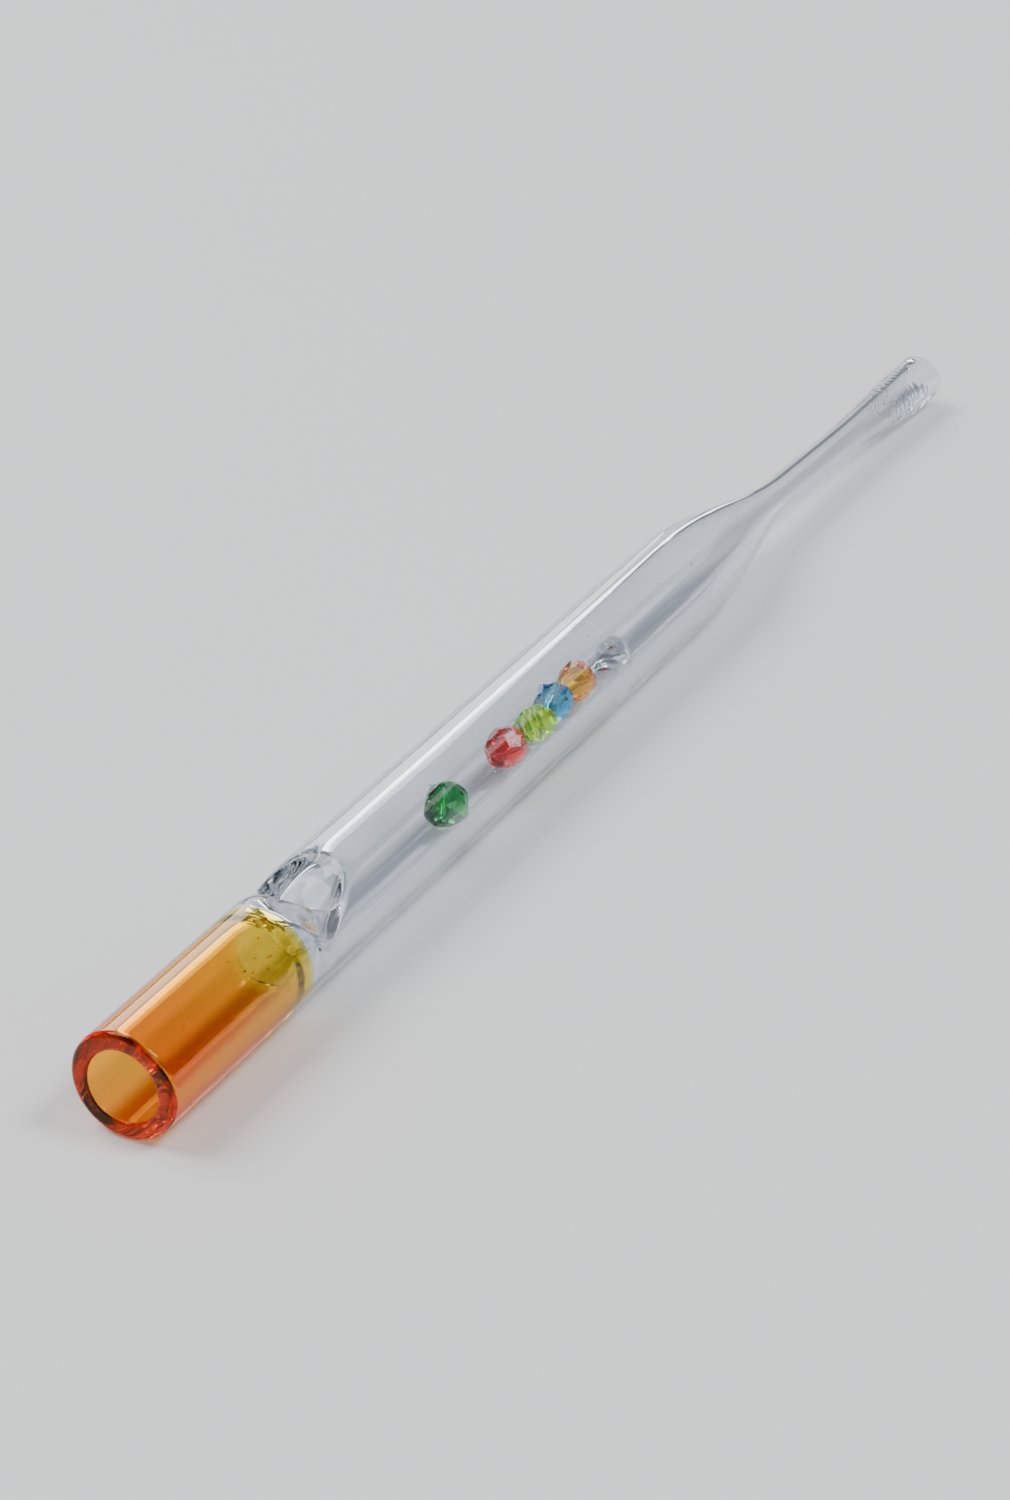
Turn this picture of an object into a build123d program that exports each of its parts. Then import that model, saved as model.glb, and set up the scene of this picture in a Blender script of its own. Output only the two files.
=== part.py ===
from build123d import *
import math
import os

# A hand-worked glass mouthpiece tube, 193 mm long, with loose faceted beads inside.
# The tube lies along X: the amber socket end is at low X, the drawn mouth end at high X.
# The origin is on the surface it lies on, under the middle of its length.
# A station is a distance along the tube from the socket's end face.

# Tube, in millimetres
TUBE_LENGTH = 193.2
TUBE_RADIUS = 6.0
SOCKET_BORE_RADIUS = 4.0
CLEAR_BORE_RADIUS = 3.8
SEAM_STATION = 26.2
SOCKET_OUTER_ROUND = 0.7
SOCKET_INNER_ROUND = 0.4

# Drawn shoulder, neck and flared mouth
SHOULDER_START = 121.0
SHOULDER_LENGTH = 28.5
NECK_RADIUS = 2.2
FLARE_START = 168.0
MOUTH_RADIUS = 3.25
NECK_BORE_RATIO = 0.62
LIP_ROUND = 0.5
BEND_START = 127.0
BEND_LENGTH = 10.0
BEND_SLOPE = 0.0445
DRAWN_SECTIONS = 15

# Pinches: the wall is pushed in by a rod, and the dent narrows to its tip as a bell curve.
# Side is 1 for a dent from above and -1 from below. Reach is the bell curve's half widths, along
# the tube and across it, on the outer surface, and the wall's reach is added to it on the bore.
# The lean is how far the dent's middle moves along the tube for each millimetre of its depth.
# Tips are the bell curve's heights above the axis, before its last few percent is left blunt.
NEAR_PINCH = {
    "station": 34.5,
    "side": 1,
    "lean": -0.4,
    "reach": (2.9, 3.8),
    "wall_reach": 0.8,
    "outer_tip": -1.9,
    "inner_tip": -2.4,
    "fullness": 2.2,
}
FAR_PINCH = {
    "station": 102.5,
    "side": -1,
    "lean": 0.0,
    "reach": (1.7, 1.9),
    "wall_reach": 0.6,
    "outer_tip": -2.6,
    "inner_tip": 0.3,
    "fullness": 3.8,
}
PINCH_LEVELS = 9
PINCH_BLUNT_SHARE = 0.98
PINCH_RIM_SHARE = 0.02
PINCH_TOOL_RISE = 3.0

# Beads: faceted glass on a sphere, each resting in the bottom of the bore
BEAD_RADIUS = 2.7
BEAD_HOLE_RADIUS = 0.5
BEAD_WALL_GAP = 0.1
# Name: station, sideways offset, facets around, bands of facets, hole direction (turn, tilt)
BEADS = {
    "bead_green": (61.85, -0.76, 12, 8, (25.0, 62.0)),
    "bead_red": (76.45, -0.1, 8, 5, (-40.0, 75.0)),
    "bead_lime": (81.95, -0.76, 8, 4, (70.0, 35.0)),
    "bead_blue": (87.75, -0.1, 9, 5, (15.0, 80.0)),
    "bead_orange": (93.4, 0.05, 9, 6, (-65.0, 50.0)),
}


def smooth_step(value):
    value = min(max(value, 0.0), 1.0)
    return value * value * (3.0 - 2.0 * value)


def narrowing(station):
    return smooth_step((station - SHOULDER_START) / SHOULDER_LENGTH)


def outer_radius(station):
    flare = smooth_step((station - FLARE_START) / (TUBE_LENGTH - FLARE_START))
    drawn = (TUBE_RADIUS - NECK_RADIUS) * narrowing(station)
    return TUBE_RADIUS - drawn + (MOUTH_RADIUS - NECK_RADIUS) * flare


def bore_radius(station):
    tube_ratio = CLEAR_BORE_RADIUS / TUBE_RADIUS
    return outer_radius(station) * (tube_ratio + (NECK_BORE_RATIO - tube_ratio) * narrowing(station))


def centre_height(station):
    """Height of the tube's centre line: level along the body, drooping along the neck."""
    past = max(station - BEND_START, 0.0)
    if past < BEND_LENGTH:
        return TUBE_RADIUS - BEND_SLOPE * past * past / (2.0 * BEND_LENGTH)
    return TUBE_RADIUS - BEND_SLOPE * (past - BEND_LENGTH / 2.0)


def place(station, side=0.0, height=0.0):
    """A point from its station, its sideways offset and its height above the body's axis."""
    return Vector(station - TUBE_LENGTH / 2.0, side, TUBE_RADIUS + height)


def rod(start, end, radius):
    """A straight round rod along the body's axis between two stations."""
    profile = Plane(origin=place(start), z_dir=(1, 0, 0)) * Circle(radius)
    return extrude(profile, amount=end - start)


def drawn_rod(radius_at, end):
    """The shoulder and neck: round sections that shrink, flare and follow the drooping centre."""
    sections = []
    for index in range(DRAWN_SECTIONS):
        station = SHOULDER_START + (end - SHOULDER_START) * index / (DRAWN_SECTIONS - 1)
        centre = (station - TUBE_LENGTH / 2.0, 0.0, centre_height(station))
        sections.append(Plane(origin=centre, z_dir=(1, 0, 0)) * Circle(radius_at(station)))
    return loft(sections)


def pinch_tool(pinch, surface, tip, wall_reach=0.0):
    """The dent of one surface: ovals that shrink as a bell curve from the wall to the tip.

    surface is the wall's radius, and tip is the height above the body's axis that the curve reaches.
    """
    side = pinch["side"]
    along, across = pinch["reach"]
    depth = surface - side * tip
    ovals = []
    for index in range(PINCH_LEVELS):
        rise = index / (PINCH_LEVELS - 1)
        share = PINCH_BLUNT_SHARE + (PINCH_RIM_SHARE - PINCH_BLUNT_SHARE) * rise
        spread = (-math.log(share)) ** (1.0 / pinch["fullness"])
        level = surface - depth * share
        slide = pinch["lean"] * (TUBE_RADIUS - level)
        centre = place(pinch["station"] + slide, height=side * level)
        oval = Ellipse((along + wall_reach) * spread, (across + wall_reach) * spread)
        ovals.append(Plane(origin=centre, x_dir=(1, 0, 0), z_dir=(0, 0, side)) * oval)
    return loft(ovals) + extrude(ovals[-1], amount=PINCH_TOOL_RISE)


def make_amber_socket():
    tube = rod(0.0, SEAM_STATION, TUBE_RADIUS) - rod(0.0, SEAM_STATION, SOCKET_BORE_RADIUS)
    end_edges = tube.edges().filter_by(GeomType.CIRCLE).group_by(Axis.X)[0].sort_by(SortBy.RADIUS)
    tube = fillet(end_edges[-1], SOCKET_OUTER_ROUND)
    end_edges = tube.edges().filter_by(GeomType.CIRCLE).group_by(Axis.X)[0].sort_by(SortBy.RADIUS)
    return fillet(end_edges[0], SOCKET_INNER_ROUND)


def make_clear_tube():
    outside = rod(SEAM_STATION, SHOULDER_START, TUBE_RADIUS) + drawn_rod(outer_radius, TUBE_LENGTH)
    lip_edge = outside.edges().group_by(Axis.X)[-1]
    outside = fillet(lip_edge, LIP_ROUND)
    inside = rod(SEAM_STATION, SHOULDER_START, CLEAR_BORE_RADIUS) + drawn_rod(bore_radius, TUBE_LENGTH)
    for pinch in (NEAR_PINCH, FAR_PINCH):
        outside -= pinch_tool(pinch, TUBE_RADIUS, pinch["outer_tip"])
        inside -= pinch_tool(pinch, CLEAR_BORE_RADIUS, pinch["inner_tip"], pinch["wall_reach"])
    return outside - inside


def make_bead(facets, bands, hole_direction):
    """Bands of flat facets between polygons whose corners lie on the bead's sphere."""
    rings = []
    for index in range(bands + 1):
        latitude = math.pi * (index + 0.5) / (bands + 1) - math.pi / 2.0
        height = BEAD_RADIUS * math.sin(latitude)
        ring = RegularPolygon(BEAD_RADIUS * math.cos(latitude), facets)
        rings.append(Plane(origin=(0, 0, height)) * ring)
    bead = loft(rings, ruled=True)
    bead -= Cylinder(BEAD_HOLE_RADIUS, 3.0 * BEAD_RADIUS)
    turn, tilt = hole_direction
    return Rotation(0, tilt, turn) * bead


def rest_height(side):
    """Height of a bead's centre above the axis, when it lies in the bore off to one side."""
    return -math.sqrt((CLEAR_BORE_RADIUS - BEAD_RADIUS - BEAD_WALL_GAP) ** 2 - side ** 2)


os.makedirs("parts", exist_ok=True)
export_step(make_amber_socket(), "parts/amber_socket.step")
export_step(make_clear_tube(), "parts/clear_tube.step")
for name, (station, side, facets, bands, hole_direction) in BEADS.items():
    bead = Pos(place(station, side, rest_height(side))) * make_bead(facets, bands, hole_direction)
    export_step(bead, f"parts/{name}.step")
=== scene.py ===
import math
import random

import bmesh
import bpy
import numpy as np
from mathutils import Matrix, Vector


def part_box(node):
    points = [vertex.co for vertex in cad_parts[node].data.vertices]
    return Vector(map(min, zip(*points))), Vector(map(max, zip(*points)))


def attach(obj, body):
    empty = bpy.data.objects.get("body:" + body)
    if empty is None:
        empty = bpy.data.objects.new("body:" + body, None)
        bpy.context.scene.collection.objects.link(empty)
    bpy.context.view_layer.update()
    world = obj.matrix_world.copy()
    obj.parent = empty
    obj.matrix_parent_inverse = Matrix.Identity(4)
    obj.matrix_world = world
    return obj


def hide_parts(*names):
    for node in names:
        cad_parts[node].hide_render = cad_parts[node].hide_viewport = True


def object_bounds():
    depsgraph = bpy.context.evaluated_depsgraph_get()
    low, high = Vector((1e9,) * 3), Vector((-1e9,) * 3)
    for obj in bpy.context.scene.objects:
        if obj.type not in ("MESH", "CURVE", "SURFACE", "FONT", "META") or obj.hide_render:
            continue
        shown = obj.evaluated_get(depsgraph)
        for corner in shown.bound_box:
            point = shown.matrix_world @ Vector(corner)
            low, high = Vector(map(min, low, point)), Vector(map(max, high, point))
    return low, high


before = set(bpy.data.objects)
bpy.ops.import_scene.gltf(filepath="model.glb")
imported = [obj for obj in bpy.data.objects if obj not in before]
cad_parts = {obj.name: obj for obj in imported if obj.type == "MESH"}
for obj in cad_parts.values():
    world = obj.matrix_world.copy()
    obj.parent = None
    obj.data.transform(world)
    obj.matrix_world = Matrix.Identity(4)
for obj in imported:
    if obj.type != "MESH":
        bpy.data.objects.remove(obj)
cad_low, cad_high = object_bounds()

# A hand-worked glass mouthpiece tube with loose beads inside: its meshes, materials and studio.
# The tube's lengths are millimetres, and MM turns them into metres. A station is a distance along
# the tube from the socket's end face, and a height is measured from the straight body's axis.
MM = 0.001
random.seed(7)

# ---------------------------------------------------------------- tube dimensions
TUBE_LENGTH = round((cad_high[0] - cad_low[0]) / MM, 2)
TUBE_RADIUS = round((cad_high[2] - cad_low[2]) / 2.0 / MM, 2)
SEAM = round((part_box("amber_socket")[1][0] - cad_low[0]) / MM, 2)
SEAM_GAP = 0.01
SOCKET_BORE = 4.0
CLEAR_BORE = 3.8
OUTER_ROUND = 0.7
INNER_ROUND = 0.4
SHOULDER_START = 121.0
SHOULDER_LENGTH = 28.5
NECK_RADIUS = 2.2
FLARE_START = 168.0
MOUTH_RADIUS = 3.25
NECK_BORE_RATIO = 0.62
LIP_DEPTH = 0.62
BEND_START = 127.0
BEND_LENGTH = 10.0
BEND_SLOPE = 0.0445

# Pinches: the wall is pushed in by a rod, and the dent narrows to its tip as a bell curve.
# Side is 1 for a dent from above and -1 from below. Reach is the bell curve's half widths, along
# the tube and across it. The lean is how far the dent's middle moves along the tube for each
# millimetre of its depth. Each surface of the wall has the height of its tip, what is added to
# the reach, and the blend that rounds the dent's rim.
NEAR_PINCH = {
    "station": 34.5,
    "side": 1,
    "lean": -0.4,
    "reach": (2.9, 3.8),
    "fullness": 2.2,
    "outer": (-1.9, 0.0, 0.8),
    "inner": (-2.4, 0.8, 0.7),
}
FAR_PINCH = {
    "station": 102.5,
    "side": -1,
    "lean": 0.0,
    "reach": (1.7, 1.9),
    "fullness": 3.8,
    "outer": (-2.6, 0.0, 0.9),
    "inner": (0.3, 0.6, 0.5),
}

# The softened wall round the near pinch has sunk in: how deep, where along the tube it starts
# and is deepest, how fast it fades from there, and how far round the tube it reaches in radians
SKIRT_DEPTH = 0.7
SKIRT_START = 28.2
SKIRT_FULL = 31.0
SKIRT_FADE = 4.5
SKIRT_TURN = 1.3

# Fine ripples round the mouth's flare. Their phase wanders round the tube and along it, by so
# many radians, and the rates are radians of that wandering for each millimetre along the tube.
RIPPLE_START = 177.5
RIPPLE_END = 191.7
RIPPLE_PITCH = 1.1
RIPPLE_HEIGHT = 0.03
RIPPLE_SIDE_POWER = 1.5
RIPPLE_WANDER_ROUND = 1.3
RIPPLE_RATE_ROUND = 0.9
RIPPLE_WANDER_ALONG = 0.8
RIPPLE_RATE_ALONG = 1.7

# Meshes: points in a ring, how close a supporting ring lies to a sharp edge, and how many times
# a bubble's ball is subdivided
AROUND = 160
EDGE_LOOP = 0.03
SEED_ROUNDNESS = 2
TURNS = np.linspace(0.0, 2.0 * math.pi, AROUND, endpoint=False)


def smooth_step(value):
    value = np.clip(value, 0.0, 1.0)
    return value * value * (3.0 - 2.0 * value)


def narrowing(station):
    return smooth_step((station - SHOULDER_START) / SHOULDER_LENGTH)


def outer_radius(station):
    flare = smooth_step((station - FLARE_START) / (TUBE_LENGTH - FLARE_START))
    drawn = (TUBE_RADIUS - NECK_RADIUS) * narrowing(station)
    return TUBE_RADIUS - drawn + (MOUTH_RADIUS - NECK_RADIUS) * flare


def bore_radius(station):
    ratio = CLEAR_BORE / TUBE_RADIUS
    return outer_radius(station) * (ratio + (NECK_BORE_RATIO - ratio) * narrowing(station))


def centre_height(station):
    """Height of the tube's centre line: level along the body, drooping along the neck."""
    past = max(station - BEND_START, 0.0)
    if past < BEND_LENGTH:
        return -BEND_SLOPE * past * past / (2.0 * BEND_LENGTH)
    return -BEND_SLOPE * (past - BEND_LENGTH / 2.0)


def ring(station, radius):
    """A ring of points round the tube: station, sideways and height above the body's axis."""
    points = np.empty((AROUND, 3))
    points[:, 0] = station
    points[:, 1] = radius * np.sin(TURNS)
    points[:, 2] = radius * np.cos(TURNS) + centre_height(station)
    return points


def smooth_min(a, b, blend):
    mix = np.clip(0.5 + 0.5 * (b - a) / blend, 0.0, 1.0)
    return b + (a - b) * mix - blend * mix * (1.0 - mix)


def press(points, pinch, surface, wall):
    """Moves the points of one wall along the pinch's slanted direction onto its dent."""
    along, across = pinch["reach"]
    side, lean = pinch["side"], pinch["lean"]
    tip, extra, blend = pinch[wall]
    height = side * points[:, 2]
    slid = points[:, 0] - lean * (TUBE_RADIUS - height) - pinch["station"]
    spread = (slid / (along + extra)) ** 2 + (points[:, 1] / (across + extra)) ** 2
    bell = surface - (surface - side * tip) * np.exp(-spread ** (pinch["fullness"] / 2.0))
    lowered = smooth_min(height, bell, blend)
    moved = points.copy()
    moved[:, 0] += lean * (height - lowered)
    moved[:, 2] = side * lowered
    return moved


def sink(points):
    """Sinks the softened wall round the near pinch towards the tube's axis."""
    turn = np.arctan2(points[:, 1], points[:, 2])
    rise = smooth_step((points[:, 0] - SKIRT_START) / (SKIRT_FULL - SKIRT_START))
    fade = np.exp(-(np.maximum(points[:, 0] - SKIRT_FULL, 0.0) / SKIRT_FADE) ** 2)
    depth = SKIRT_DEPTH * rise * fade * np.exp(-(turn / SKIRT_TURN) ** 2)
    scale = 1.0 - depth / np.hypot(points[:, 1], points[:, 2])
    moved = points.copy()
    moved[:, 1] *= scale
    moved[:, 2] *= scale
    return moved


def press_wall(points, surface, wall):
    points = sink(points)
    for pinch in (NEAR_PINCH, FAR_PINCH):
        points = press(points, pinch, surface, wall)
    return points


def rippled(points, station):
    """Fine uneven ripples left round the mouth's flare, strongest at its sides."""
    share = (station - RIPPLE_START) / (RIPPLE_END - RIPPLE_START)
    fade = math.sin(math.pi * min(max(share, 0.0), 1.0))
    side = np.abs(np.sin(TURNS)) ** RIPPLE_SIDE_POWER
    phase = 2.0 * math.pi * station / RIPPLE_PITCH
    wander = (RIPPLE_WANDER_ROUND * np.sin(2.0 * TURNS + RIPPLE_RATE_ROUND * station)
              + RIPPLE_WANDER_ALONG * math.sin(RIPPLE_RATE_ALONG * station))
    swell = RIPPLE_HEIGHT * fade * side * np.sin(phase + wander)
    scale = 1.0 + swell / outer_radius(station)
    centre = centre_height(station)
    moved = points.copy()
    moved[:, 1] *= scale
    moved[:, 2] = centre + (moved[:, 2] - centre) * scale
    return moved


def spaced(spans):
    """Stations from spans of (start, end, step), without their repeated ends."""
    stations = []
    for start, end, step in spans:
        count = max(1, round((end - start) / step))
        stations += [start + (end - start) * i / count for i in range(count)]
    return stations + [spans[-1][1]]


def add_piece(name, mesh, body, node, material):
    obj = bpy.data.objects.new(name, mesh)
    bpy.context.scene.collection.objects.link(obj)
    mesh.materials.append(material)
    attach(obj, body)
    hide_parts(node)


def mesh_of_rings(name, rings):
    """A closed smooth mesh whose rings join in order, and the last to the first."""
    points = np.concatenate(rings) * MM
    points[:, 0] -= TUBE_LENGTH / 2.0 * MM
    points[:, 2] += TUBE_RADIUS * MM
    faces = []
    for i in range(len(rings)):
        start = i * AROUND
        after = (i + 1) % len(rings) * AROUND
        for j in range(AROUND):
            k = (j + 1) % AROUND
            faces.append((start + j, start + k, after + k, after + j))
    mesh = bpy.data.meshes.new(name)
    mesh.from_pydata(points.tolist(), [], faces)
    mesh.polygons.foreach_set("use_smooth", [True] * len(faces))
    mesh.update()
    return mesh


def add_seeds(mesh, count, span, turns, radii, sizes, stretch):
    """Small closed bubbles inside the tube's wall, drawn out along it."""
    bm = bmesh.new()
    bm.from_mesh(mesh)
    for _ in range(count):
        turn = math.radians(random.uniform(*turns))
        radius = random.uniform(*radii)
        size = random.uniform(*sizes) * MM
        centre = Vector((random.uniform(*span) - TUBE_LENGTH / 2.0, radius * math.sin(turn),
                         TUBE_RADIUS + radius * math.cos(turn)))
        shape = Matrix.Diagonal((size * stretch, size, size, 1.0))
        made = bmesh.ops.create_icosphere(bm, subdivisions=SEED_ROUNDNESS, radius=1.0,
                                          matrix=Matrix.Translation(centre * MM) @ shape)
        faces = list({face for vert in made["verts"] for face in vert.link_faces})
        bmesh.ops.reverse_faces(bm, faces=faces)
        for face in faces:
            face.smooth = True
    bm.to_mesh(mesh)
    bm.free()
    mesh.update()


# ---------------------------------------------------------------- materials
# Wave heights and the seam's band are millimetres. The band is the half width of the slice round
# the seam in which both tubes' end faces lie.
WHITE = (1.0, 1.0, 1.0)
TUBE_IOR = 1.47
BEAD_IOR = 1.56
STREAK_STRETCH = (0.12, 1.0, 1.0)
STREAK_RAMP = (0.35, 0.65)
STREAK_DETAIL = 2.0
TUBE_WAVES = 900.0
TUBE_WAVE_HEIGHT = 0.004
BEAD_WAVES = 700.0
BEAD_WAVE_HEIGHT = 0.003
SEAM_BAND = 0.02

CLEAR_TINTS = ((0.875, 0.905, 0.945), (0.91, 0.935, 0.97))
CLEAR_ABSORB = (0.55, 0.7, 0.82)
CLEAR_DENSITY = 5.0
AMBER_TINTS = ((1.0, 0.93, 0.8), (1.0, 0.99, 0.95))
AMBER_ABSORB = (0.995, 0.85, 0.0)
AMBER_DENSITY = 700.0
AMBER_SHINE = (1.0, 0.62, 0.3)
# The amber's stain from the socket's end face to the seam: share of the way, and colour
AMBER_STAIN = (
    (0.0, (1.0, 0.56, 0.24)),
    (0.12, (0.99, 0.58, 0.2)),
    (0.75, (0.93, 0.72, 0.13)),
    (1.0, (0.9, 0.8, 0.1)),
)


def node_material(name):
    material = bpy.data.materials.new(name)
    material.use_nodes = True
    nodes, links = material.node_tree.nodes, material.node_tree.links
    nodes.clear()
    output = nodes.new("ShaderNodeOutputMaterial")
    return material, nodes, links, output


def clear_shader(nodes, ior):
    shader = nodes.new("ShaderNodeBsdfPrincipled")
    shader.inputs["Roughness"].default_value = 0.0
    shader.inputs["IOR"].default_value = ior
    shader.inputs["Transmission Weight"].default_value = 1.0
    return shader


def streaks(nodes, links, coords, wave_scale):
    """Noise drawn out along the tube, as the glass was."""
    stretch = nodes.new("ShaderNodeMapping")
    stretch.inputs["Scale"].default_value = STREAK_STRETCH
    links.new(coords.outputs["Object"], stretch.inputs["Vector"])
    noise = nodes.new("ShaderNodeTexNoise")
    noise.inputs["Scale"].default_value = wave_scale
    noise.inputs["Detail"].default_value = STREAK_DETAIL
    links.new(stretch.outputs["Vector"], noise.inputs["Vector"])
    return noise.outputs["Fac"]


def streaked_colour(nodes, links, noise, tints):
    ramp = nodes.new("ShaderNodeValToRGB")
    for element, position, tint in zip(ramp.color_ramp.elements, STREAK_RAMP, tints):
        element.position = position
        element.color = (*tint, 1.0)
    links.new(noise, ramp.inputs["Fac"])
    return ramp.outputs["Color"]


def position_along(nodes, links, coords):
    split = nodes.new("ShaderNodeSeparateXYZ")
    links.new(coords.outputs["Object"], split.inputs["Vector"])
    return split.outputs["X"]


def stained_colour(nodes, links, coords, colour, stain):
    """The colour times a stain that changes along the tube, from its end face to the seam."""
    reach = nodes.new("ShaderNodeMapRange")
    reach.inputs["From Min"].default_value = -TUBE_LENGTH / 2.0 * MM
    reach.inputs["From Max"].default_value = (SEAM - TUBE_LENGTH / 2.0) * MM
    links.new(position_along(nodes, links, coords), reach.inputs["Value"])
    ramp = nodes.new("ShaderNodeValToRGB")
    elements = ramp.color_ramp.elements
    first, *between, last = stain
    elements[0].color = (*first[1], 1.0)
    elements[1].color = (*last[1], 1.0)
    for position, shade in between:
        elements.new(position).color = (*shade, 1.0)
    links.new(reach.outputs["Result"], ramp.inputs["Fac"])
    blend = nodes.new("ShaderNodeMix")
    blend.data_type = "RGBA"
    blend.blend_type = "MULTIPLY"
    blend.inputs["Factor"].default_value = 1.0
    links.new(colour, blend.inputs["A"])
    links.new(ramp.outputs["Color"], blend.inputs["B"])
    return blend.outputs["Result"]


def open_at_seam(nodes, links, coords, surface):
    """Light goes straight through the two faces at the seam, where the glasses are one."""
    through = clear_shader(nodes, 1.0)
    through.inputs["Base Color"].default_value = (*WHITE, 1.0)
    near = nodes.new("ShaderNodeMath")
    near.operation = "COMPARE"
    near.inputs[1].default_value = (SEAM - TUBE_LENGTH / 2.0) * MM
    near.inputs[2].default_value = SEAM_BAND * MM
    links.new(position_along(nodes, links, coords), near.inputs[0])
    mix = nodes.new("ShaderNodeMixShader")
    links.new(near.outputs["Value"], mix.inputs["Fac"])
    links.new(surface, mix.inputs[1])
    links.new(through.outputs["BSDF"], mix.inputs[2])
    return mix.outputs["Shader"]


def glass_material(name, tints, absorb, density, ior, wave_scale, wave_height,
                   seam=False, stain=None, shine=WHITE):
    """Streaky rippled glass. The tints colour each crossing, and absorption colours the depth."""
    material, nodes, links, output = node_material(name)
    shader = clear_shader(nodes, ior)
    shader.inputs["Specular Tint"].default_value = (*shine, 1.0)
    coords = nodes.new("ShaderNodeTexCoord")
    noise = streaks(nodes, links, coords, wave_scale)
    colour = streaked_colour(nodes, links, noise, tints)
    if stain:
        colour = stained_colour(nodes, links, coords, colour, stain)
    links.new(colour, shader.inputs["Base Color"])
    bump = nodes.new("ShaderNodeBump")
    bump.inputs["Strength"].default_value = 1.0
    bump.inputs["Distance"].default_value = wave_height * MM
    links.new(noise, bump.inputs["Height"])
    links.new(bump.outputs["Normal"], shader.inputs["Normal"])
    surface = shader.outputs["BSDF"]
    if seam:
        surface = open_at_seam(nodes, links, coords, surface)
    links.new(surface, output.inputs["Surface"])
    volume = nodes.new("ShaderNodeVolumeAbsorption")
    volume.inputs["Color"].default_value = (*absorb, 1.0)
    volume.inputs["Density"].default_value = density
    links.new(volume.outputs["Volume"], output.inputs["Volume"])
    return material


CLEAR_GLASS = glass_material("clear_glass", CLEAR_TINTS, CLEAR_ABSORB, CLEAR_DENSITY, TUBE_IOR,
                             TUBE_WAVES, TUBE_WAVE_HEIGHT, seam=True)
AMBER_GLASS = glass_material("amber_glass", AMBER_TINTS, AMBER_ABSORB, AMBER_DENSITY, TUBE_IOR,
                             TUBE_WAVES, TUBE_WAVE_HEIGHT, seam=True, stain=AMBER_STAIN,
                             shine=AMBER_SHINE)

# ---------------------------------------------------------------- amber socket
OUTER_ROUND_STEPS = 8
INNER_ROUND_STEPS = 6
PLAIN_STEP = 2.0
ROUND_MARGIN = 0.3
SEAM_MARGIN = 1.0
TAPER_LENGTH = 2.0
TAPER_STEPS = 6

# Bubbles in the walls: how many, span of stations, turns round the tube in degrees, distances
# from the axis, radii, and how many times longer than wide they are
SOCKET_SEEDS = (
    (24, (2.0, 24.0), (-180.0, 180.0), (4.4, 5.6), (0.05, 0.11), 1.5),
    (8, (17.5, 24.0), (-60.0, -15.0), (4.35, 4.7), (0.07, 0.12), 2.6),
)
TUBE_SEEDS = (
    (45, (46.0, 98.0), (-180.0, 180.0), (4.2, 5.6), (0.05, 0.12), 1.6),
    (12, (107.0, 120.0), (-180.0, 180.0), (4.2, 5.6), (0.05, 0.11), 1.6),
)


def make_amber_socket():
    """Rings from the seam along the outside, round the end's two edges and back along the bore."""
    seam = SEAM - SEAM_GAP
    rings = [ring(seam, TUBE_RADIUS - EDGE_LOOP), ring(seam, TUBE_RADIUS)]
    rings.append(ring(seam - EDGE_LOOP, TUBE_RADIUS))
    for station in spaced([(SEAM - SEAM_MARGIN, OUTER_ROUND + ROUND_MARGIN, PLAIN_STEP)]):
        rings.append(ring(station, TUBE_RADIUS))
    for i in range(OUTER_ROUND_STEPS + 1):
        turn = math.pi / 2.0 * i / OUTER_ROUND_STEPS
        rings.append(ring(OUTER_ROUND * (1.0 - math.sin(turn)),
                          TUBE_RADIUS - OUTER_ROUND * (1.0 - math.cos(turn))))
    for i in range(INNER_ROUND_STEPS + 1):
        turn = math.pi / 2.0 * i / INNER_ROUND_STEPS
        rings.append(ring(INNER_ROUND * (1.0 - math.cos(turn)),
                          SOCKET_BORE + INNER_ROUND * (1.0 - math.sin(turn))))
    taper_start = SEAM - TAPER_LENGTH
    for station in spaced([(INNER_ROUND + ROUND_MARGIN, taper_start, PLAIN_STEP)]):
        rings.append(ring(station, SOCKET_BORE))
    for i in range(1, TAPER_STEPS + 1):
        rings.append(ring(taper_start + (TAPER_LENGTH - SEAM_GAP - EDGE_LOOP) * i / TAPER_STEPS,
                          SOCKET_BORE + (CLEAR_BORE - SOCKET_BORE) * smooth_step(i / TAPER_STEPS)))
    rings += [ring(seam, CLEAR_BORE), ring(seam, CLEAR_BORE + EDGE_LOOP)]
    mesh = mesh_of_rings("amber_socket_glass", rings)
    for seeds in SOCKET_SEEDS:
        add_seeds(mesh, *seeds)
    add_piece("amber_socket_glass", mesh, "glass", "amber_socket", AMBER_GLASS)


# ---------------------------------------------------------------- clear tube
LIP_START = TUBE_LENGTH - LIP_DEPTH
LIP_STEPS = 16

# Spans of rings: start, end and spacing, finer round the pinches and the rippled mouth
OUTER_SPANS = (
    (SEAM + EDGE_LOOP, 28.0, 0.6),
    (28.0, 46.0, 0.3),
    (46.0, 98.0, 2.0),
    (98.0, 109.0, 0.25),
    (109.0, SHOULDER_START, 2.0),
    (SHOULDER_START, 175.0, 1.0),
    (175.0, LIP_START, 0.16),
)
INNER_SPANS = (
    (SEAM + EDGE_LOOP, 28.0, 0.6),
    (28.0, 48.0, 0.25),
    (48.0, 98.0, 2.0),
    (98.0, 109.0, 0.22),
    (109.0, SHOULDER_START, 2.0),
    (SHOULDER_START, LIP_START, 1.0),
)


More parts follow.
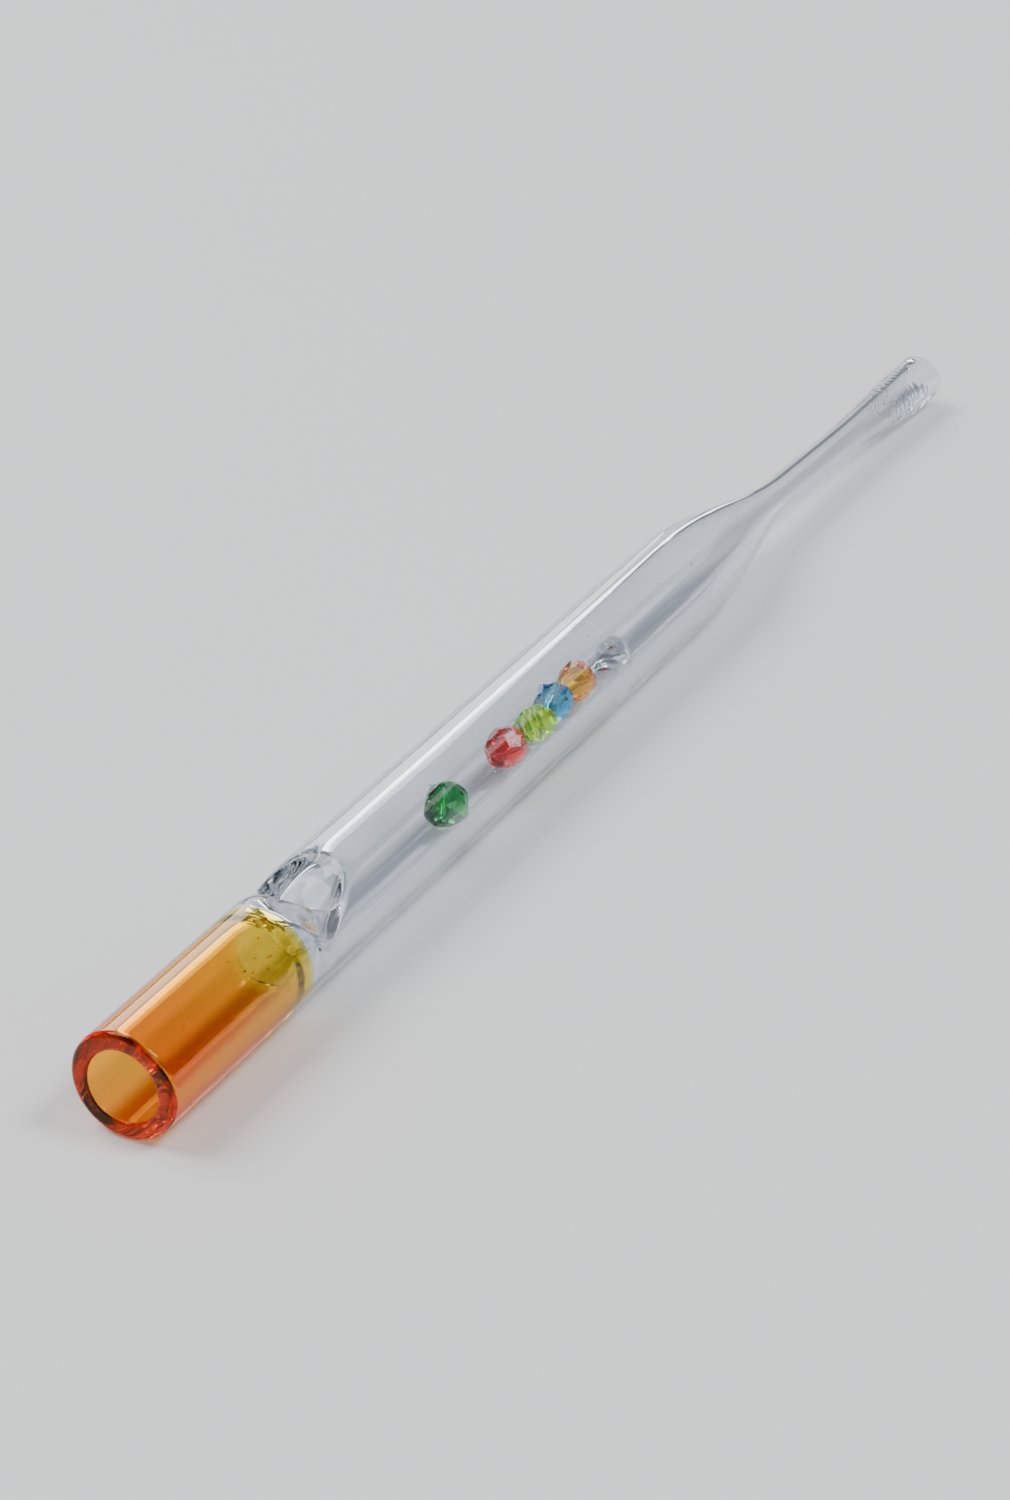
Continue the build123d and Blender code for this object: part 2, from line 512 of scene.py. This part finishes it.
def make_clear_tube():
    """Rings from the seam along the outside, round the mouth's lip and back along the bore."""
    rings = [ring(SEAM, TUBE_RADIUS - EDGE_LOOP), ring(SEAM, TUBE_RADIUS)]
    for station in spaced(OUTER_SPANS):
        points = press_wall(ring(station, outer_radius(station)), TUBE_RADIUS, "outer")
        if station > RIPPLE_START:
            points = rippled(points, station)
        rings.append(points)
    lip_outer, lip_inner = outer_radius(LIP_START), bore_radius(LIP_START)
    middle, half = (lip_outer + lip_inner) / 2.0, (lip_outer - lip_inner) / 2.0
    for i in range(1, LIP_STEPS):
        turn = math.pi * i / LIP_STEPS
        rings.append(ring(LIP_START + LIP_DEPTH * math.sin(turn), middle + half * math.cos(turn)))
    for station in reversed(spaced(INNER_SPANS)):
        rings.append(press_wall(ring(station, bore_radius(station)), CLEAR_BORE, "inner"))
    rings += [ring(SEAM, CLEAR_BORE), ring(SEAM, CLEAR_BORE + EDGE_LOOP)]
    mesh = mesh_of_rings("clear_tube_glass", rings)
    for polygon in mesh.polygons:
        polygon.flip()
    mesh.update()
    for seeds in TUBE_SEEDS:
        add_seeds(mesh, *seeds)
    add_piece("clear_tube_glass", mesh, "glass", "clear_tube", CLEAR_GLASS)


# ---------------------------------------------------------------- beads
BEAD_RADIUS = 2.7
BEAD_GAP = 0.1
BEAD_HOLE = 0.5
HOLE_SIDES = 20
DRILL_LENGTH = 4.0 * BEAD_RADIUS
BLANK_SIZE = 4.0
CUT_TOLERANCE = 1e-6
CORNER_MERGE = 1e-5
EDGE_WEAR = 0.035
EDGE_WEAR_STEPS = 2
EDGE_WEAR_ANGLE = 8.0
SLIVER_SIZE = 1e-4
DEEP_TINT_SHARE = 0.65
PALE_TINT_SHARE = 0.4

# Rows of facets: latitude, facets around, turn as a share of one facet, and the plane's distance
# from the middle. Distances are in the block's units, before the bead is scaled to its radius.
FINE = ((0, 12, 0.0, 2.28), (24, 12, 0.5, 2.28), (46, 12, 0.0, 2.28), (66, 8, 0.5, 2.28))
TABLE = ((14.8, 6, 0.685, 2.1), (48, 6, 0.185, 2.25))
STEEP = ((16, 7, 0.0, 2.25), (50, 7, 0.5, 2.15))
BARREL = ((0, 9, 0.0, 2.25), (38, 9, 0.0, 2.2), (64, 9, 0.5, 2.2))
DIAMOND = ((0, 7, 0.0, 2.25), (33, 7, 0.5, 2.2), (62, 7, 0.0, 2.2))

# Name, station, sideways offset, rows of facets, distance of the two end planes,
# turn and tilt of the hole, colour that the glass lets through, and density of that colour
BEADS = (
    ("green", 61.85, -0.76, FINE, 2.1, (25.0, 62.0), (0.03, 0.84, 0.5), 1100.0),
    ("red", 76.45, -0.1, TABLE, 2.05, (-40.0, 75.0), (0.985, 0.0, 0.0), 1600.0),
    ("lime", 81.95, -0.76, STEEP, 1.9, (70.0, 35.0), (0.88, 0.995, 0.0), 700.0),
    ("blue", 87.75, -0.1, BARREL, 2.05, (15.0, 80.0), (0.0, 0.9, 0.965), 1600.0),
    ("orange", 93.4, 0.05, DIAMOND, 2.05, (-65.0, 50.0), (0.999, 0.895, 0.0), 1500.0),
)


def facet_planes(rows, end_distance):
    """Each plane's normal and distance: the two ends, then each row above and below the middle."""
    planes = [(Vector((0, 0, 1)), end_distance), (Vector((0, 0, -1)), end_distance)]
    for latitude, count, offset, distance in rows:
        for sign in ((1, -1) if latitude else (1,)):
            for i in range(count):
                turn = 2.0 * math.pi * (i + offset) / count
                rise = math.radians(latitude) * sign
                normal = Vector((math.cos(turn) * math.cos(rise),
                                 math.sin(turn) * math.cos(rise), math.sin(rise)))
                planes.append((normal, distance))
    return planes


def cut_blank(name, rows, end_distance):
    """A block cut flat by the facet planes, and scaled until its corners reach the bead's radius.

    The block's own faces stay as facets where no plane lies nearer to the middle.
    """
    bm = bmesh.new()
    bmesh.ops.create_cube(bm, size=BLANK_SIZE)
    for normal, distance in facet_planes(rows, end_distance):
        cut = bmesh.ops.bisect_plane(bm, geom=bm.verts[:] + bm.edges[:] + bm.faces[:],
                                     dist=CUT_TOLERANCE, plane_co=normal * distance,
                                     plane_no=normal, clear_outer=True)
        edges = [item for item in cut["geom_cut"] if isinstance(item, bmesh.types.BMEdge)]
        if len(edges) > 2:
            bmesh.ops.contextual_create(bm, geom=edges)
    bmesh.ops.remove_doubles(bm, verts=bm.verts[:], dist=CORNER_MERGE)
    widest = max(vert.co.length for vert in bm.verts)
    bmesh.ops.scale(bm, vec=(BEAD_RADIUS / widest,) * 3, verts=bm.verts[:])
    bmesh.ops.recalc_face_normals(bm, faces=bm.faces[:])
    mesh = bpy.data.meshes.new(name)
    bm.to_mesh(mesh)
    bm.free()
    return mesh


def hole_drill(name):
    bm = bmesh.new()
    bmesh.ops.create_cone(bm, cap_ends=True, segments=HOLE_SIDES, radius1=BEAD_HOLE,
                          radius2=BEAD_HOLE, depth=DRILL_LENGTH)
    mesh = bpy.data.meshes.new(name)
    bm.to_mesh(mesh)
    bm.free()
    return mesh


def bored_and_worn(blank_mesh, drill_mesh):
    """The blank with its hole bored and its edges worn, without slivers."""
    blank = bpy.data.objects.new("blank", blank_mesh)
    drill = bpy.data.objects.new("drill", drill_mesh)
    for tool in (blank, drill):
        bpy.context.scene.collection.objects.link(tool)
    bore = blank.modifiers.new("bore", "BOOLEAN")
    bore.operation = "DIFFERENCE"
    bore.solver = "EXACT"
    bore.object = drill
    wear = blank.modifiers.new("wear", "BEVEL")
    wear.width = EDGE_WEAR
    wear.segments = EDGE_WEAR_STEPS
    wear.limit_method = "ANGLE"
    wear.angle_limit = math.radians(EDGE_WEAR_ANGLE)
    bpy.context.view_layer.update()
    graph = bpy.context.evaluated_depsgraph_get()
    mesh = bpy.data.meshes.new_from_object(blank.evaluated_get(graph))
    for tool in (blank, drill):
        bpy.data.objects.remove(tool)
    bm = bmesh.new()
    bm.from_mesh(mesh)
    bmesh.ops.remove_doubles(bm, verts=bm.verts[:], dist=SLIVER_SIZE)
    bmesh.ops.dissolve_degenerate(bm, edges=bm.edges[:], dist=SLIVER_SIZE)
    bm.to_mesh(mesh)
    bm.free()
    return mesh


def make_bead(name, station, side, rows, end_distance, direction, material):
    """A faceted bead that rests in the bottom of the bore."""
    piece_name = "bead_" + name + "_glass"
    mesh = bored_and_worn(cut_blank(name + "_cut", rows, end_distance), hole_drill(name + "_drill"))
    turn, tilt = (math.radians(angle) for angle in direction)
    spin = Matrix.Rotation(turn, 4, "Z") @ Matrix.Rotation(tilt, 4, "Y")
    rest = -math.sqrt((CLEAR_BORE - BEAD_RADIUS - BEAD_GAP) ** 2 - side ** 2)
    place = Vector((station - TUBE_LENGTH / 2.0, side, TUBE_RADIUS + rest))
    mesh.transform(Matrix.Diagonal((MM, MM, MM, 1.0)) @ Matrix.Translation(place) @ spin)
    mesh.name = piece_name
    mesh.update()
    add_piece(piece_name, mesh, name + "_bead", "bead_" + name, material)


def toned(colour, share):
    """White turned towards the colour by a share."""
    return tuple(1.0 - share + share * channel for channel in colour)


make_amber_socket()
make_clear_tube()
for name, station, side, rows, end_distance, direction, absorb, density in BEADS:
    tints = (toned(absorb, DEEP_TINT_SHARE), toned(absorb, PALE_TINT_SHARE))
    material = glass_material(name + "_glass", tints, absorb, density, BEAD_IOR,
                              BEAD_WAVES, BEAD_WAVE_HEIGHT)
    make_bead(name, station, side, rows, end_distance, direction, material)

# ---------------------------------------------------------------- stage, light and camera
# The studio's own sizes are metres, but the camera's lens and sensor are millimetres
FLOOR_RADIUS = 4.0
FLOOR_SIDES = 96
FLOOR_DROP = 0.00002
FLOOR_ROUGHNESS = 0.8
FLOOR_MOTTLE = 6.0
FLOOR_TONES = ((0.78, 0.785, 0.795), (0.81, 0.815, 0.825))

# Soft boxes: name, azimuth from +X towards +Y, elevation, distance, width, height and radiance
LIGHTS = (
    ("back_strip", 48.0, 17.0, 1.2, 0.6, 0.5, 4.5),
    ("far_strip", -24.0, 30.0, 1.2, 0.3, 0.24, 1.2),
    ("overhead", 105.0, 55.0, 1.4, 0.8, 0.8, 8.0),
    ("table_box", -75.0, 57.0, 1.2, 0.34, 0.34, 22.0),
    ("fill", 215.0, 35.0, 1.4, 1.0, 0.8, 2.0),
)
STUDIO_COLOUR = (0.8, 0.86, 0.95)
STUDIO_STRENGTH = 0.24

CAMERA_PLACE = (-0.37541, -0.19110, 0.23282)
CAMERA_FORWARD = (0.76775, 0.41122, -0.49139)
CAMERA_LENS = 101.09
CAMERA_SENSOR = 36.0
CAMERA_CLIP = (0.01, 20.0)

# Light is carried along the walls by many inner reflections before it leaves the end faces
LIGHT_BOUNCES = 64
GLOSSY_BOUNCES = 32


def make_floor():
    bm = bmesh.new()
    bmesh.ops.create_circle(bm, cap_ends=True, segments=FLOOR_SIDES, radius=FLOOR_RADIUS)
    mesh = bpy.data.meshes.new("floor")
    bm.to_mesh(mesh)
    bm.free()
    material, nodes, links, output = node_material("floor_paper")
    shader = nodes.new("ShaderNodeBsdfPrincipled")
    shader.inputs["Roughness"].default_value = FLOOR_ROUGHNESS
    coords = nodes.new("ShaderNodeTexCoord")
    noise = nodes.new("ShaderNodeTexNoise")
    noise.inputs["Scale"].default_value = FLOOR_MOTTLE
    links.new(coords.outputs["Object"], noise.inputs["Vector"])
    ramp = nodes.new("ShaderNodeValToRGB")
    for element, tone in zip(ramp.color_ramp.elements, FLOOR_TONES):
        element.color = (*tone, 1.0)
    links.new(noise.outputs["Fac"], ramp.inputs["Fac"])
    links.new(ramp.outputs["Color"], shader.inputs["Base Color"])
    links.new(shader.outputs["BSDF"], output.inputs["Surface"])
    mesh.materials.append(material)
    floor = bpy.data.objects.new("floor", mesh)
    floor.location = (0.0, 0.0, -FLOOR_DROP)
    bpy.context.scene.collection.objects.link(floor)


def make_softbox(name, azimuth, elevation, distance, width, height, radiance):
    """A rectangle of light aimed at the middle of the tube."""
    light = bpy.data.lights.new(name, "AREA")
    light.shape = "RECTANGLE"
    light.size = width
    light.size_y = height
    light.energy = radiance * math.pi * width * height
    turn, rise = math.radians(azimuth), math.radians(elevation)
    away = Vector((math.cos(turn) * math.cos(rise), math.sin(turn) * math.cos(rise),
                   math.sin(rise)))
    obj = bpy.data.objects.new(name, light)
    obj.location = away * distance
    obj.rotation_mode = "QUATERNION"
    obj.rotation_quaternion = away.to_track_quat("Z", "Y")
    bpy.context.scene.collection.objects.link(obj)


def make_world():
    world = bpy.data.worlds.new("studio")
    world.use_nodes = True
    background = world.node_tree.nodes["Background"]
    background.inputs["Color"].default_value = (*STUDIO_COLOUR, 1.0)
    background.inputs["Strength"].default_value = STUDIO_STRENGTH
    bpy.context.scene.world = world


def make_camera():
    data = bpy.data.cameras.new("camera")
    data.sensor_width = CAMERA_SENSOR
    data.lens = CAMERA_LENS
    data.clip_start, data.clip_end = CAMERA_CLIP
    camera = bpy.data.objects.new("camera", data)
    camera.location = CAMERA_PLACE
    camera.rotation_mode = "QUATERNION"
    camera.rotation_quaternion = Vector(CAMERA_FORWARD).to_track_quat("-Z", "Y")
    bpy.context.scene.collection.objects.link(camera)
    bpy.context.scene.camera = camera


make_floor()
for light in LIGHTS:
    make_softbox(*light)
make_world()
make_camera()
cycles = bpy.context.scene.cycles
cycles.max_bounces = LIGHT_BOUNCES
cycles.transmission_bounces = LIGHT_BOUNCES
cycles.glossy_bounces = GLOSSY_BOUNCES
